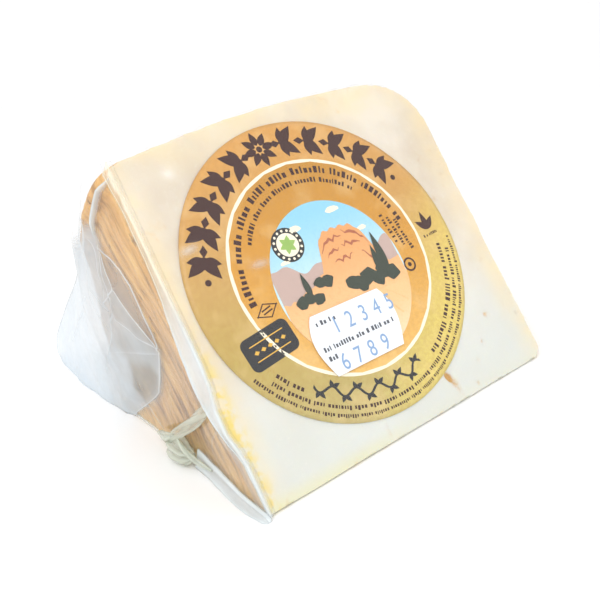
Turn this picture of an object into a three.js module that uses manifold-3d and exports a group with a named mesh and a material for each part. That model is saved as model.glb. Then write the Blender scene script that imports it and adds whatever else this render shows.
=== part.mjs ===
// A vacuum-packed wedge of aged sheep's milk cheese: one sixth of a small wheel, in a clear bag, with a round label.
// Millimetres, +Z up. The wedge lies on one cut face. X runs along the wheel's axis, which is the wedge's thin edge,
// Y runs from that edge to the rim, and the labelled cut face rises from the thin edge at the wedge's angle.
import * as THREE from "three";
import { mergeVertices } from "three/addons/utils/BufferGeometryUtils.js";
import Module from "manifold-3d";

const wasm = await Module();
wasm.setup();

// Driving dimensions of the wheel
const wedgeAngle = THREE.MathUtils.degToRad(60);
const rimRadius = 91.9; // at the fullest part of the rim
const crownRadius = 337; // the rim bulges along an arc of this radius
const crownX = 66; // where the bulge is fullest, measured from the left sector face
const hubHeight = 94.3; // the wheel's height at its axis
const rimHeight = 96.9; // its height just inside the rim, where the right face flares
const leftCorner = 3.7; // rounding between the left sector face and the rim
const rightCorner = 19.5; // the much fuller rounding on the right
const tipChamfer = 3.2; // worn corner at the right end of the thin edge
const apexRound = 0.8; // the thin edge is cut, but a little blunt

// Driving dimensions of the label, the lot sticker and the loose film
const labelRadius = 40;
const labelThickness = 0.35;
const labelAlong = 43.7; // label centre along the thin edge, from the left sector face
const labelUp = 46.1; // label centre up the cut face, from the thin edge
const stickerWidth = 26;
const stickerHeight = 15.6;
const stickerBulge = 2.3; // how far the sticker's short ends swell
const stickerAlong = 40.5;
const stickerUp = 28.3;
const seat = 0.3; // gap between pieces that touch
const filmThickness = 0.7; // the film over the left sector face, with the air under it
const filmEdge = 0.35; // its thickness at its outer edge
const earReach = 145; // how far the loose ear of film reaches from the thin edge
const earStand = 1.9; // how far the folded ear stands off the sector face
const earStart = 33; // where the ear begins, towards the rim
const earFade = { low: 36, high: 66 }; // heights between which it thins out
const ridgeStand = 1.5; // the film's ridge along the cut face's edge
const ridgeDepth = 2.2; // how far below the cut face it runs
const footStand = 2.6; // how far the film's foot stands off the sector face
const footHeight = 4; // the height over which the foot fades
const knotCentre = { y: 36.5, z: 4.2 };
const knotRadius = 5.6;
const knotStand = 3;
const stripStand = 1.3; // the gathered strip that runs up and forward from the knot
const stripWidth = 2.2;
const stripLength = 26;
const stripAngle = THREE.MathUtils.degToRad(40); // how steeply it climbs

const radialStep = THREE.MathUtils.degToRad(3);

// Turns a closed three.js geometry into a solid for cutting and joining
function toSolid(geometry) {
  const bare = new THREE.BufferGeometry();
  bare.setAttribute("position", geometry.getAttribute("position"));
  bare.setIndex(geometry.getIndex());
  const merged = mergeVertices(bare, 1e-4);
  const mesh = new wasm.Mesh({
    numProp: 3,
    vertProperties: new Float32Array(merged.getAttribute("position").array),
    triVerts: new Uint32Array(merged.getIndex().array),
  });
  return new wasm.Manifold(mesh);
}

// Gives a cut solid back as a three.js geometry
function toGeometry(solid) {
  const mesh = solid.getMesh();
  const geometry = new THREE.BufferGeometry();
  geometry.setAttribute("position", new THREE.BufferAttribute(mesh.vertProperties, 3));
  geometry.setIndex(new THREE.BufferAttribute(mesh.triVerts, 1));
  geometry.computeVertexNormals();
  return geometry;
}

function material(color, roughness, extra = {}) {
  return new THREE.MeshStandardMaterial({ color, roughness, metalness: 0, ...extra });
}

function smoothstep(low, high, value) {
  const t = THREE.MathUtils.clamp((value - low) / (high - low), 0, 1);
  return t * t * (3 - 2 * t);
}

// A rounded hill of height 1 at distance 0, which fades out at a few widths
function hill(distance, width) {
  return Math.exp(-((distance / width) ** 2));
}

// The rim's radius at a place along the axis
function crown(x) {
  return rimRadius - (x - crownX) ** 2 / (2 * crownRadius);
}

// Where the right sector face is at a radius: the wheel has settled, so it is wider towards the rim
function rightFace(radius) {
  return hubHeight + (rimHeight - hubHeight) * (Math.min(radius, rimRadius) / rimRadius) ** 1.5;
}

// Half of the wheel's cross-section, with its axis along the path's y
function wheelProfile() {
  const profile = new THREE.Path();
  profile.moveTo(0, 0);
  profile.lineTo(crown(0) - leftCorner, 0);
  profile.quadraticCurveTo(crown(0), 0, crown(leftCorner), leftCorner);
  const crownEnd = rimHeight - rightCorner;
  const crownSteps = 9;
  for (let i = 1; i <= crownSteps; i++) {
    const x = leftCorner + ((crownEnd - leftCorner) * i) / crownSteps;
    profile.lineTo(crown(x), x);
  }
  const shoulder = crown(crownEnd) - rightCorner;
  profile.quadraticCurveTo(crown(rimHeight), rimHeight, shoulder, rightFace(shoulder));
  const faceSteps = 5;
  for (let i = 1; i <= faceSteps; i++) {
    const radius = shoulder + ((tipChamfer - shoulder) * i) / faceSteps;
    profile.lineTo(radius, rightFace(radius));
  }
  profile.lineTo(0, hubHeight - tipChamfer);
  return profile.getPoints(8);
}

// The whole wheel, with its axis turned onto +X and its seam under the floor
function wheel() {
  const segments = Math.round((2 * Math.PI) / radialStep);
  const geometry = new THREE.LatheGeometry(wheelProfile(), segments);
  geometry.rotateZ(-Math.PI / 2);
  return toSolid(geometry);
}

// A long prism of the wedge's angle, blunt along the thin edge
function wedgePrism() {
  const reach = 2 * rimRadius;
  const overhang = 10;
  const setback = apexRound / Math.tan(wedgeAngle / 2);
  const section = new THREE.Shape();
  section.moveTo(setback, 0);
  section.lineTo(reach, 0);
  section.lineTo(reach * Math.cos(wedgeAngle), reach * Math.sin(wedgeAngle));
  section.lineTo(setback * Math.cos(wedgeAngle), setback * Math.sin(wedgeAngle));
  section.quadraticCurveTo(0, 0, setback, 0);
  const geometry = new THREE.ExtrudeGeometry(section, {
    depth: rimHeight + 2 * overhang,
    bevelEnabled: false,
    curveSegments: 4,
  });
  geometry.rotateX(Math.PI / 2);
  geometry.rotateZ(Math.PI / 2);
  geometry.translate(-overhang, 0, 0);
  return toSolid(geometry);
}

// Small eyes in the paste, each a shallow bowl: along the thin edge, up the face, width and depth
const shownEyes = [
  { along: 13.0, up: 80.3, width: 3.0, depth: 0.6 },
  { along: 81.5, up: 17.7, width: 2.0, depth: 0.7 },
  { along: 75.8, up: 11.6, width: 1.8, depth: 0.6 },
  { along: 71.6, up: 8.0, width: 1.6, depth: 0.5 },
  { along: 68.0, up: 2.8, width: 1.8, depth: 0.6 },
];

// A seeded draw, the same each time
function makeDraw(seed) {
  let state = seed;
  return () => {
    state = (state * 16807) % 2147483647;
    return state / 2147483647;
  };
}

// The eyes of the hidden cut face, scattered like the shown ones, clear of its middle and its edges
function hiddenEyes() {
  const draw = makeDraw(731);
  const count = 6;
  return Array.from({ length: count }, (_, i) => ({
    along: hubHeight * ((i + 0.3 + 0.4 * draw()) / count),
    up: rimRadius * (i % 2 === 0 ? 0.2 + 0.12 * draw() : 0.72 + 0.14 * draw()),
    width: 1.6 + 1.4 * draw(),
    depth: 0.4 + 0.3 * draw(),
  }));
}

// One eye as a flattened ball whose middle lies on the cut face at an angle of elevation
function eyeSolid(eye, elevation) {
  const geometry = new THREE.SphereGeometry(1, 8, 6);
  geometry.rotateX(Math.PI / 2);
  geometry.scale(eye.width / 2, eye.width / 2, eye.depth);
  geometry.translate(eye.along, eye.up, 0);
  geometry.rotateX(elevation);
  return toSolid(geometry);
}

// The crack that runs from under the label to the thin edge: a shallow groove with a wider pit at its top.
// Each is a flattened ball on the cut face, turned a little from straight up.
const crackParts = [
  { along: 60.2, up: 7.6, halfWidth: 1.1, halfLength: 2.4, depth: 1.3, turn: 0.45 },
  { along: 61.5, up: 3.6, halfWidth: 0.45, halfLength: 4.0, depth: 0.7, turn: 0.1 },
];

function crackSolid(crack) {
  const geometry = new THREE.SphereGeometry(1, 6, 4);
  geometry.rotateX(Math.PI / 2);
  geometry.scale(crack.halfWidth, crack.halfLength, crack.depth);
  geometry.rotateZ(crack.turn);
  geometry.translate(crack.along, crack.up, 0);
  geometry.rotateX(wedgeAngle);
  return toSolid(geometry);
}

function cheeseWedge() {
  let solid = wheel().intersect(wedgePrism());
  for (const eye of shownEyes) {
    solid = solid.subtract(eyeSolid(eye, wedgeAngle));
  }
  for (const eye of hiddenEyes()) {
    solid = solid.subtract(eyeSolid(eye, 0));
  }
  for (const crack of crackParts) {
    solid = solid.subtract(crackSolid(crack));
  }
  const mesh = new THREE.Mesh(toGeometry(solid), material(0xe9d9b8, 0.55));
  mesh.name = "cheese_wedge";
  return mesh;
}

// What lies on the cut face is made flat and carried by a group that is tilted to the face
function roundLabel() {
  const geometry = new THREE.CylinderGeometry(labelRadius, labelRadius, labelThickness, 72);
  geometry.rotateX(Math.PI / 2);
  const mesh = new THREE.Mesh(geometry, material(0xdcae6a, 0.5));
  mesh.name = "round_label";
  mesh.position.set(labelAlong, labelUp, seat + labelThickness / 2);
  return mesh;
}

// A price-gun sticker: straight above and below, with short ends that swell
function stickerOutline() {
  const halfWidth = stickerWidth / 2 - stickerBulge;
  const steps = 10;
  const outline = new THREE.Shape();
  const swell = (t) => stickerBulge * Math.sin(Math.PI * t ** 0.85);
  const height = (t) => stickerHeight / 2 - stickerHeight * t;
  outline.moveTo(-halfWidth, stickerHeight / 2);
  for (let i = 1; i <= steps; i++) {
    const t = i / steps;
    outline.lineTo(-halfWidth - swell(t), height(t));
  }
  for (let i = steps; i >= 0; i--) {
    const t = i / steps;
    outline.lineTo(halfWidth + swell(t), height(t));
  }
  return outline;
}

function lotSticker() {
  const thickness = 0.3;
  const geometry = new THREE.ExtrudeGeometry(stickerOutline(), { depth: thickness, bevelEnabled: false });
  const mesh = new THREE.Mesh(geometry, material(0xf4f6f8, 0.45));
  mesh.name = "lot_sticker";
  mesh.position.set(stickerAlong, stickerUp, seat + labelThickness + seat);
  return mesh;
}

// The ear's upper edge after its rounded tip: the bend and the end of each curve, towards the rim and up
const earCurves = [
  { bend: [118, 23], end: [98, 35] },
  { bend: [86, 42], end: [81, 50] },
  { bend: [73, 60], end: [63, 66] },
];
const earOverTop = [53, 74]; // the last bend, over the rim, before the wedge's top corner

// The outline of the loose film beside the left sector face, in the plane of that face
function filmOutline() {
  const sin = Math.sin(wedgeAngle);
  const cos = Math.cos(wedgeAngle);
  const top = crown(0) + 1;
  const start = 0.4;
  const outline = new THREE.Path();
  outline.moveTo(start, 0);
  outline.lineTo(earReach - 3, 0);
  outline.quadraticCurveTo(earReach + 1, 2, earReach - 8, 10);
  for (const curve of earCurves) {
    outline.quadraticCurveTo(...curve.bend, ...curve.end);
  }
  outline.quadraticCurveTo(...earOverTop, top * cos, top * sin);
  outline.lineTo(start * cos, start * sin);
  outline.lineTo(start, 0);
  return outline;
}

// The gathered strip's height at a place: it starts in the knot and ends on the sector face
function stripHeight(y, z) {
  const fromKnot = { y: knotCentre.y - y, z: z - knotCentre.z };
  const across = fromKnot.z * Math.cos(stripAngle) - fromKnot.y * Math.sin(stripAngle);
  const along = fromKnot.y * Math.cos(stripAngle) + fromKnot.z * Math.sin(stripAngle);
  const ends = smoothstep(-2, 3, along) * (1 - smoothstep(stripLength - 4, stripLength + 4, along));
  return stripStand * hill(across, stripWidth) * ends;
}

// How thick the plate is at a place: the ridge along the cut face's edge, the foot, the knot, the folded-over ear
function filmStand(y, z) {
  const below = y * Math.sin(wedgeAngle) - z * Math.cos(wedgeAngle);
  const radius = Math.hypot(y, z);
  const ridge = ridgeStand * hill(below - ridgeDepth, 1.5);
  const foot = footStand * Math.exp(-z / footHeight) * smoothstep(-2, 8, y);
  const earSpread = smoothstep(earStart, earStart + 9, y + 0.15 * z);
  const ear = earStand * earSpread * (1 - smoothstep(earFade.low, earFade.high, z));
  const tip = 1 - 0.6 * smoothstep(crown(0), earReach, radius);
  const knot = knotStand * hill(Math.hypot(y - knotCentre.y, z - knotCentre.z), knotRadius);
  return (filmThickness + ridge + Math.max(foot, ear) + stripHeight(y, z)) * tip + knot;
}

// A ball's rings are spread over the plate: its front half follows the film, and its back half is flat
function filmWrap() {
  const centre = new THREE.Vector2(53, 22); // a place well inside the outline
  const around = 84;
  const rings = 26;
  const rimShare = 0.35; // how much of its stand the film keeps at its outline
  const outline = filmOutline().getSpacedPoints(around);
  const geometry = new THREE.SphereGeometry(1, around, rings);
  const position = geometry.getAttribute("position");
  const columns = around + 1;
  for (let i = 0; i < position.count; i++) {
    const ring = Math.floor(i / columns);
    const edge = outline[(around - (i % columns)) % around];
    const half = rings / 2;
    const front = ring <= half;
    const share = front ? ring / half : (rings - ring) / half;
    const spread = share ** 0.85;
    const y = centre.x + (edge.x - centre.x) * spread;
    const z = centre.y + (edge.y - centre.y) * spread;
    const rim = Math.sqrt(Math.max(0, 1 - share ** 8)); // full inside, and 0 at the outline
    const stand = filmEdge + (filmStand(y, z) - filmEdge) * THREE.MathUtils.lerp(rimShare, 1, rim);
    position.setXYZ(i, front ? -seat - stand : -seat, y, z);
  }
  geometry.computeVertexNormals();
  const film = material(0xe6edef, 0.25, { transparent: true, opacity: 0.55 });
  const mesh = new THREE.Mesh(geometry, film);
  mesh.name = "film_wrap";
  return mesh;
}

function assemble() {
  const onFace = new THREE.Group();
  onFace.rotation.x = wedgeAngle;
  onFace.add(roundLabel(), lotSticker());
  const pack = new THREE.Group();
  pack.add(cheeseWedge(), onFace, filmWrap());
  pack.updateMatrixWorld(true);
  const box = new THREE.Box3().setFromObject(pack, true);
  const middle = box.getCenter(new THREE.Vector3());
  pack.position.set(-middle.x, -middle.y, -box.min.z);
  const part = new THREE.Group();
  part.add(pack);
  part.updateMatrixWorld(true);
  return part;
}

const group = assemble();

export default group;
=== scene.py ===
# Looks for the vacuum-packed wedge of aged sheep cheese, built around its CAD solids. Lengths are in metres.
import math

import bmesh
import bpy
import numpy as np
from mathutils import Matrix, Vector
from mathutils.geometry import delaunay_2d_cdt
from mathutils.kdtree import KDTree


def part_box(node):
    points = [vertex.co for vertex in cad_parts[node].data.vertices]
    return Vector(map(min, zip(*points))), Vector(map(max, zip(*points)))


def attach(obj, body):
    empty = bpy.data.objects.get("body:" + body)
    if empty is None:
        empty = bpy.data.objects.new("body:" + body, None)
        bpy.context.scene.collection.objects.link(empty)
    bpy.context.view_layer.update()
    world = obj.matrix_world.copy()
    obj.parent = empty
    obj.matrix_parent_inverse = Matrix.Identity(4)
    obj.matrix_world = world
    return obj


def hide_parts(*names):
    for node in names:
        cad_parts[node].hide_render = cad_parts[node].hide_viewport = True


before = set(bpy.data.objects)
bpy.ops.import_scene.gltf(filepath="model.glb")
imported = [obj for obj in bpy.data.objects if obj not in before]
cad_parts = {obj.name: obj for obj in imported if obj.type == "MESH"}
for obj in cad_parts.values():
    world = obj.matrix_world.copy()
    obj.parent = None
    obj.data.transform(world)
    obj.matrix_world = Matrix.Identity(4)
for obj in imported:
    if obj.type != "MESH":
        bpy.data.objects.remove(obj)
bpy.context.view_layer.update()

MM = 0.001

# The wedge's own frame: its thin edge runs along X from the left sector face, on the floor
EDGE_BLUNT = 0.47 * MM
WEDGE_LOW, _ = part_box("cheese_wedge")
WEDGE_ORIGIN = Vector((WEDGE_LOW[0], WEDGE_LOW[1] - EDGE_BLUNT, 0.0))
WEDGE_ANGLE = math.radians(60)
SIN, COS = math.sin(WEDGE_ANGLE), math.cos(WEDGE_ANGLE)

# The wheel that the wedge was cut from
RIM_RADIUS = 91.9 * MM
CROWN_RADIUS = 337 * MM
CROWN_X = 66 * MM

# The label and the sticker, in the cut face's own plane
LABEL_RADIUS = 40 * MM
LABEL_ALONG = 43.7 * MM
LABEL_UP = 46.1 * MM
STICKER_ALONG = 40.5 * MM
STICKER_UP = 28.3 * MM

# The photograph's camera, from the wedge's own frame
CAMERA_PLACE = Vector((-55.05, -110.0, 90.74)) * MM
CAMERA_AZIMUTH = math.radians(33.09)
CAMERA_DOWN = math.radians(19.56)
CAMERA_ROLL = math.radians(-10.17)
CAMERA_LENS = 41.39

BODY = "root"


def new_object(name, data):
    obj = bpy.data.objects.new(name, data)
    bpy.context.scene.collection.objects.link(obj)
    return obj


def get_points(mesh):
    points = np.empty(len(mesh.vertices) * 3, dtype=np.float64)
    mesh.vertices.foreach_get("co", points)
    return points.reshape(-1, 3)


def get_normals(mesh):
    normals = np.empty(len(mesh.vertices) * 3, dtype=np.float32)
    mesh.vertex_normals.foreach_get("vector", normals)
    return normals.reshape(-1, 3).astype(np.float64)


def set_points(mesh, points):
    mesh.vertices.foreach_set("co", points.astype(np.float32).ravel())
    mesh.update()


def set_attribute(mesh, name, values):
    attribute = mesh.attributes.new(name, "FLOAT", "POINT")
    attribute.data.foreach_set("value", values.astype(np.float32))


def smoothstep(low, high, value):
    t = np.clip((value - low) / (high - low), 0.0, 1.0)
    return t * t * (3 - 2 * t)


def table(values, at):
    """A value read off a table of places and values, straight between its rows."""
    xs, ys = zip(*values)
    return np.interp(at, xs, ys)


def waves(points, seed, size, count=10):
    """Smooth noise between about -1 and 1: a sum of seeded waves, each about size long."""
    draw = np.random.default_rng(seed)
    total = np.zeros(len(points))
    for _ in range(count):
        direction = draw.normal(size=3)
        direction *= 2 * math.pi / (size * draw.uniform(0.7, 1.6) * np.linalg.norm(direction))
        total += np.sin(points @ direction + draw.uniform(0, 2 * math.pi))
    return total / math.sqrt(count / 2) / 1.6


def plane(x, y):
    """Places for waves, from their two coordinates in a plane."""
    return np.stack([x, y, 0 * x], axis=1)


def closed_mesh(name, points, faces):
    """A new mesh whose faces all point out."""
    mesh = bpy.data.meshes.new(name)
    mesh.from_pydata([tuple(p) for p in points], [], faces)
    shape = bmesh.new()
    shape.from_mesh(mesh)
    bmesh.ops.recalc_face_normals(shape, faces=shape.faces[:])
    shape.to_mesh(mesh)
    shape.free()
    return mesh


# Places on the wedge

def in_wedge(points):
    """Points of the part as along the thin edge, towards the rim, and up, from the thin edge's left end."""
    return points - np.array(WEDGE_ORIGIN)


def to_face(local):
    """Distance up the labelled cut face, and depth below it."""
    up = local[:, 1] * COS + local[:, 2] * SIN
    below = local[:, 1] * SIN - local[:, 2] * COS
    return up, below


# The left sector face's swelling towards the rim and the lip that the mould left along its edge, by the
# angle above the floor; and the cut edge's bulge, by the distance from the axis; in degrees and millimetres
SWELL = [(0, 0), (12, 0), (30, 1.8), (42, 3.0), (50, 2.9), (56, 2.0), (60, 0.5)]
LIP = [(0, 0), (30, 0), (42, 2.4), (58, 2.4), (60, 0.4)]
EDGE_BULGE = [(0, 0), (12, 0), (16, 0.5), (20, 1.4), (26, 1.3), (31, 0.3), (36, 0)]


def swell(y, z):
    """The sector face's swelling at a place towards the rim and up, in millimetres."""
    angle, radius = np.degrees(np.arctan2(z, y)), np.hypot(y, z)
    size = table(SWELL, angle) * smoothstep(40.0, 76.0, radius)
    size = size + table(LIP, angle) * smoothstep(78.0, 84.0, radius)
    return size + table(EDGE_BULGE, radius) * smoothstep(46.0, 58.0, angle)


def side_swell(local):
    """The same for points of the wedge, fading out away from the sector face."""
    return swell(local[:, 1], local[:, 2]) * smoothstep(16.0, 0.0, local[:, 0])


def on_face(along, up, out):
    """A point of the part from a place on the labelled cut face and a height above it."""
    y = up * COS - out * SIN
    z = up * SIN + out * COS
    return WEDGE_ORIGIN + Vector((along, y, z))


# Materials

def srgb(red, green, blue):
    """A colour given as it looks on screen, 0 to 255, as the linear colour that shaders take."""
    def linear(value):
        value /= 255
        return value / 12.92 if value <= 0.04045 else ((value + 0.055) / 1.055) ** 2.4
    return (linear(red), linear(green), linear(blue))


class Shader:
    """A new material's node tree, with short calls for the nodes that the materials share."""

    def __init__(self, name):
        self.material = bpy.data.materials.new(name)
        self.material.use_nodes = True
        self.tree = self.material.node_tree
        self.tree.nodes.clear()

    def put(self, socket, value):
        if isinstance(value, bpy.types.NodeSocket):
            self.tree.links.new(value, socket)
        elif isinstance(value, tuple) and len(socket.default_value) == len(value) + 1:
            socket.default_value = (*value, 1)
        else:
            socket.default_value = value

    def node(self, kind, inputs=None, **settings):
        made = self.tree.nodes.new(kind)
        for key, value in settings.items():
            setattr(made, key, value)
        for key, value in (inputs or {}).items():
            self.put(made.inputs[key], value)
        return made

    def math(self, operation, a, b=0.0, clamp=False):
        return self.node("ShaderNodeMath", {0: a, 1: b}, operation=operation, use_clamp=clamp).outputs[0]

    def multiply(self, a, b, clamp=False):
        return self.math("MULTIPLY", a, b, clamp)

    def add(self, a, b):
        return self.math("ADD", a, b)

    def vector(self, x, y, z):
        return self.node("ShaderNodeCombineXYZ", {"X": x, "Y": y, "Z": z}).outputs[0]

    def vector_math(self, operation, inputs, output=0):
        return self.node("ShaderNodeVectorMath", inputs, operation=operation).outputs[output]

    def ramp(self, value, stops):
        made = self.node("ShaderNodeValToRGB", {"Fac": value})
        elements = made.color_ramp.elements
        while len(elements) < len(stops):
            elements.new(0.5)
        for element, (place, color) in zip(elements, stops):
            element.position = place
            element.color = (*color, 1)
        return made.outputs["Color"]

    def mix(self, factor, a, b):
        return self.node("ShaderNodeMix", {0: factor, 6: a, 7: b}, data_type="RGBA").outputs[2]

    def range(self, value, low, high, to_low=0.0, to_high=1.0, kind="SMOOTHSTEP"):
        inputs = {"Value": value, "From Min": low, "From Max": high, "To Min": to_low, "To Max": to_high}
        return self.node("ShaderNodeMapRange", inputs, interpolation_type=kind).outputs["Result"]

    def noise(self, vector, scale, detail=2.0, roughness=0.5, distortion=0.0):
        inputs = {"Vector": vector, "Scale": scale, "Detail": detail, "Roughness": roughness,
                  "Distortion": distortion}
        return self.node("ShaderNodeTexNoise", inputs).outputs["Fac"]

    def attribute(self, name):
        return self.node("ShaderNodeAttribute", attribute_name=name).outputs["Fac"]

    def bump(self, height, strength, distance):
        inputs = {"Height": height, "Strength": strength, "Distance": distance * MM}
        return self.node("ShaderNodeBump", inputs).outputs[0]

    def principled(self, color, roughness, bump, more=None):
        inputs = {"Base Color": color, "Roughness": roughness, "Normal": bump, **(more or {})}
        return self.node("ShaderNodeBsdfPrincipled", inputs)

    def blend(self, factor, first, second):
        """Two shaders, mixed."""
        return self.node("ShaderNodeMixShader", {0: factor, 1: first.outputs[0], 2: second.outputs[0]})

    def coordinates(self):
        """The place in the wedge's frame in millimetres, how far up and below the cut face, and its
        parts."""
        place = self.node("ShaderNodeTexCoord").outputs["Object"]
        shifted = self.vector_math("SUBTRACT", {0: place, 1: tuple(WEDGE_ORIGIN)})
        local = self.vector_math("SCALE", {0: shifted, "Scale": 1 / MM})
        up = self.vector_math("DOT_PRODUCT", {0: local, 1: (0, COS, SIN)}, "Value")
        below = self.vector_math("DOT_PRODUCT", {0: local, 1: (0, SIN, -COS)}, "Value")
        return local, up, below, self.node("ShaderNodeSeparateXYZ", {0: local}).outputs

    def finish(self, surface):
        self.node("ShaderNodeOutputMaterial", {"Surface": surface.outputs[0]})
        return self.material


# The paste's and the rind's colours
PASTE_TONES = [(0.34, srgb(212, 198, 178)), (0.5, srgb(219, 208, 191)), (0.66, srgb(228, 219, 205))]
PASTE_COOL = srgb(214, 220, 216)
PASTE_GRAIN = srgb(236, 233, 224)
PASTE_BAND = srgb(236, 217, 172)
PASTE_LOW = srgb(222, 218, 170)
PASTE_DEPOSIT = srgb(230, 206, 104)
RIND_TONES = [(0.37, srgb(118, 78, 40)), (0.45, srgb(176, 132, 76)), (0.54, srgb(204, 160, 96)),
              (0.65, srgb(224, 188, 120))]
RIND_WORN = srgb(188, 156, 116)
RIND_HIGH = srgb(236, 182, 106)
RIND_FLECK = srgb(104, 70, 40)
RIND_FLOOR = srgb(226, 184, 104)
# The colour of a glint of the film, painted on the paste as a highlight
PAINTED_GLINT_COLOUR = srgb(240, 238, 230)
CRACK = srgb(206, 164, 100)
# The colour of the painted shadow along the thin edge, where it meets the floor
EDGE_SHADOW = srgb(120, 108, 66)


def cheese_material():
    s = Shader("cheese")
    local, up, below, (along, deep, high) = s.coordinates()
    depth_cut = s.math("MINIMUM", below, high)
    edge_noise = s.noise(local, 0.35, 3)
    edge_shift = s.multiply(s.math("SUBTRACT", edge_noise, 0.5), 0.9)
    rind = s.range(s.add(depth_cut, edge_shift), 0.25, 0.75)

    # Paste: ivory, yellower and greyer in a band below the rind, with pale clouds and fine grains
    clouds = s.noise(local, 0.045, 4, 0.55)
    paste = s.ramp(clouds, PASTE_TONES)
    cool = s.range(up, 48.0, 8.0, 0, 0.75)
    paste = s.mix(cool, paste, PASTE_COOL)
    grains = s.noise(local, 1.6, 4, 0.7)
    paste = s.mix(s.range(grains, 0.56, 0.7, 0, 0.35), paste, PASTE_GRAIN)
    left_band = s.range(along, 1.0, 8.5, 1, 0)
    right_band = s.range(along, 84.0, 94.5)
    radius = s.vector_math("LENGTH", {0: s.vector(0.0, deep, high)}, "Value")
    rim_band = s.range(radius, 76.0, 90.0)
    band = s.math("MAXIMUM", s.math("MAXIMUM", left_band, right_band), rim_band)
    band_noise = s.range(s.noise(local, 0.12, 3), 0.3, 0.7, 0.25, 0.65)
    paste = s.mix(s.multiply(band, band_noise), paste, PASTE_BAND)
    low_tint = s.range(radius, 0.8, 5.0, 0.55, 0)
    low_tint = s.multiply(low_tint, s.range(along, 25.0, 50.0, 1, 0.25))
    paste = s.mix(low_tint, paste, PASTE_LOW)
    deposit_noise = s.range(s.noise(local, 0.32, 4, 0.65), 0.38, 0.58)
    deposit_side = s.range(along, 0.6, 4.4, 0.85, 0)
    deposits = s.multiply(deposit_noise, deposit_side)
    deposits = s.multiply(deposits, s.range(up, 50.0, 30.0))
    paste = s.mix(deposits, paste, PASTE_DEPOSIT)

    # Rind: tan, striated along the cut, with darker flecks and paler worn stretches
    stretch = s.vector(s.multiply(along, 0.5), s.multiply(below, 0.5), s.multiply(up, 0.045))
    streaks = s.noise(stretch, 0.9, 4, 0.6, 0.4)
    rind_color = s.ramp(streaks, RIND_TONES)
    blotches = s.noise(local, 0.07, 3)
    rind_color = s.mix(s.range(blotches, 0.45, 0.62, 0, 0.4), rind_color, RIND_WORN)
    height_tone = s.range(up, 5.0, 85.0)
    rind_color = s.mix(s.multiply(height_tone, 0.4), rind_color, RIND_HIGH)
    flecks = s.noise(s.vector(along, below, s.multiply(up, 0.3)), 0.9, 3, 0.6)
    rind_color = s.mix(s.range(flecks, 0.62, 0.70, 0, 0.8), rind_color, RIND_FLECK)
    floor_tone = s.range(high, 9.0, 1.0, 0, 0.5)
    rind_color = s.mix(floor_tone, rind_color, RIND_FLOOR)

    color = s.mix(rind, paste, rind_color)
    # Painted highlight: a glint of the film, painted on the paste as a pale spot
    pale = s.attribute("pale")
    color = s.mix(pale, color, PAINTED_GLINT_COLOUR)
    # The eyes and cracks coloured darker and browner: partly their own tint, partly painted shade in the
    # hollows
    crack = s.attribute("hollow")
    crack = s.multiply(crack, s.range(grains, 0.35, 0.6, 0.35, 1.0))
    color = s.mix(crack, color, CRACK)
    # Painted shadow: broken dark dashes along the thin edge, where it meets the floor
    edge_shadow_noise = s.range(s.noise(local, 0.30, 2), 0.54, 0.60, 0, 0.7)
    edge_shadow = s.multiply(edge_shadow_noise, s.range(radius, 1.3, 0.7))
    color = s.mix(edge_shadow, color, EDGE_SHADOW)

    rough = s.range(rind, 0, 1, 0.42, 0.62, "LINEAR")
    bump = s.bump(s.add(s.multiply(grains, 0.25), s.multiply(streaks, rind)), 0.5, 0.35)
    return s.finish(s.principled(color, rough, bump, {
        "Subsurface Weight": 0.35, "Subsurface Scale": 2.5 * MM, "Subsurface Radius": (1.0, 0.7, 0.4),
        "Specular IOR Level": 0.35}))


# The cheese in the bag

CHEESE_VOXEL = 0.62 * MM
SKIN_VOXEL = 0.9 * MM
# Holes in the labelled cut face, and one painted highlight: the entry with a tone below zero is a glint of
# the film, painted on the paste as a pale spot. Their place along and up, their size, and how dark the hole
# or how strong the painted glint is
EYES = [(13.0, 80.3, 1.5, -0.6), (81.5, 17.7, 1.0, 0.2), (75.8, 11.6, 0.9, 0.2), (71.6, 8.0, 0.8, 0.2),
        (68.0, 2.8, 0.8, 0.2)]
# Cracks in it: where they start and end, their width and their depth
CRACKS = [((59.6, 8.4), (60.9, 5.6), 0.6, 0.6), ((60.9, 5.6), (61.3, 3.9), 0.5, 0.35),
          ((61.3, 3.9), (62.0, 0.6), 0.3, 0.12), ((36.4, 5.0), (36.2, 2.6), 0.3, 0.2)]


def remeshed(name, source, voxel, smooth_steps):
    """A fine copy of a CAD solid's mesh."""
    obj = new_object(name, source.data.copy())
    remesh = obj.modifiers.new("remesh", "REMESH")
    remesh.mode = "VOXEL"
    remesh.voxel_size = voxel
    smooth = obj.modifiers.new("smooth", "SMOOTH")
    smooth.factor = 0.5
    smooth.iterations = smooth_steps
    evaluated = obj.evaluated_get(bpy.context.evaluated_depsgraph_get())
    mesh = bpy.data.meshes.new_from_object(evaluated)
    obj.modifiers.clear()
    old = obj.data
    obj.data = mesh
    bpy.data.meshes.remove(old)
    mesh.materials.clear()
    for attribute in [a.name for a in mesh.attributes if a.name.startswith("custom")]:
        mesh.attributes.remove(mesh.attributes[attribute])
    return obj


def distance_to_line(along, up, start, end):
    """Distance in the cut face's plane from a straight crack, and how far along it, 0 to 1."""
    start, end = np.array(start), np.array(end)
    run = end - start
    t = np.clip(((along - start[0]) * run[0] + (up - start[1]) * run[1]) / (run @ run), 0, 1)
    return np.hypot(along - start[0] - t * run[0], up - start[1] - t * run[1]), t


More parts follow.
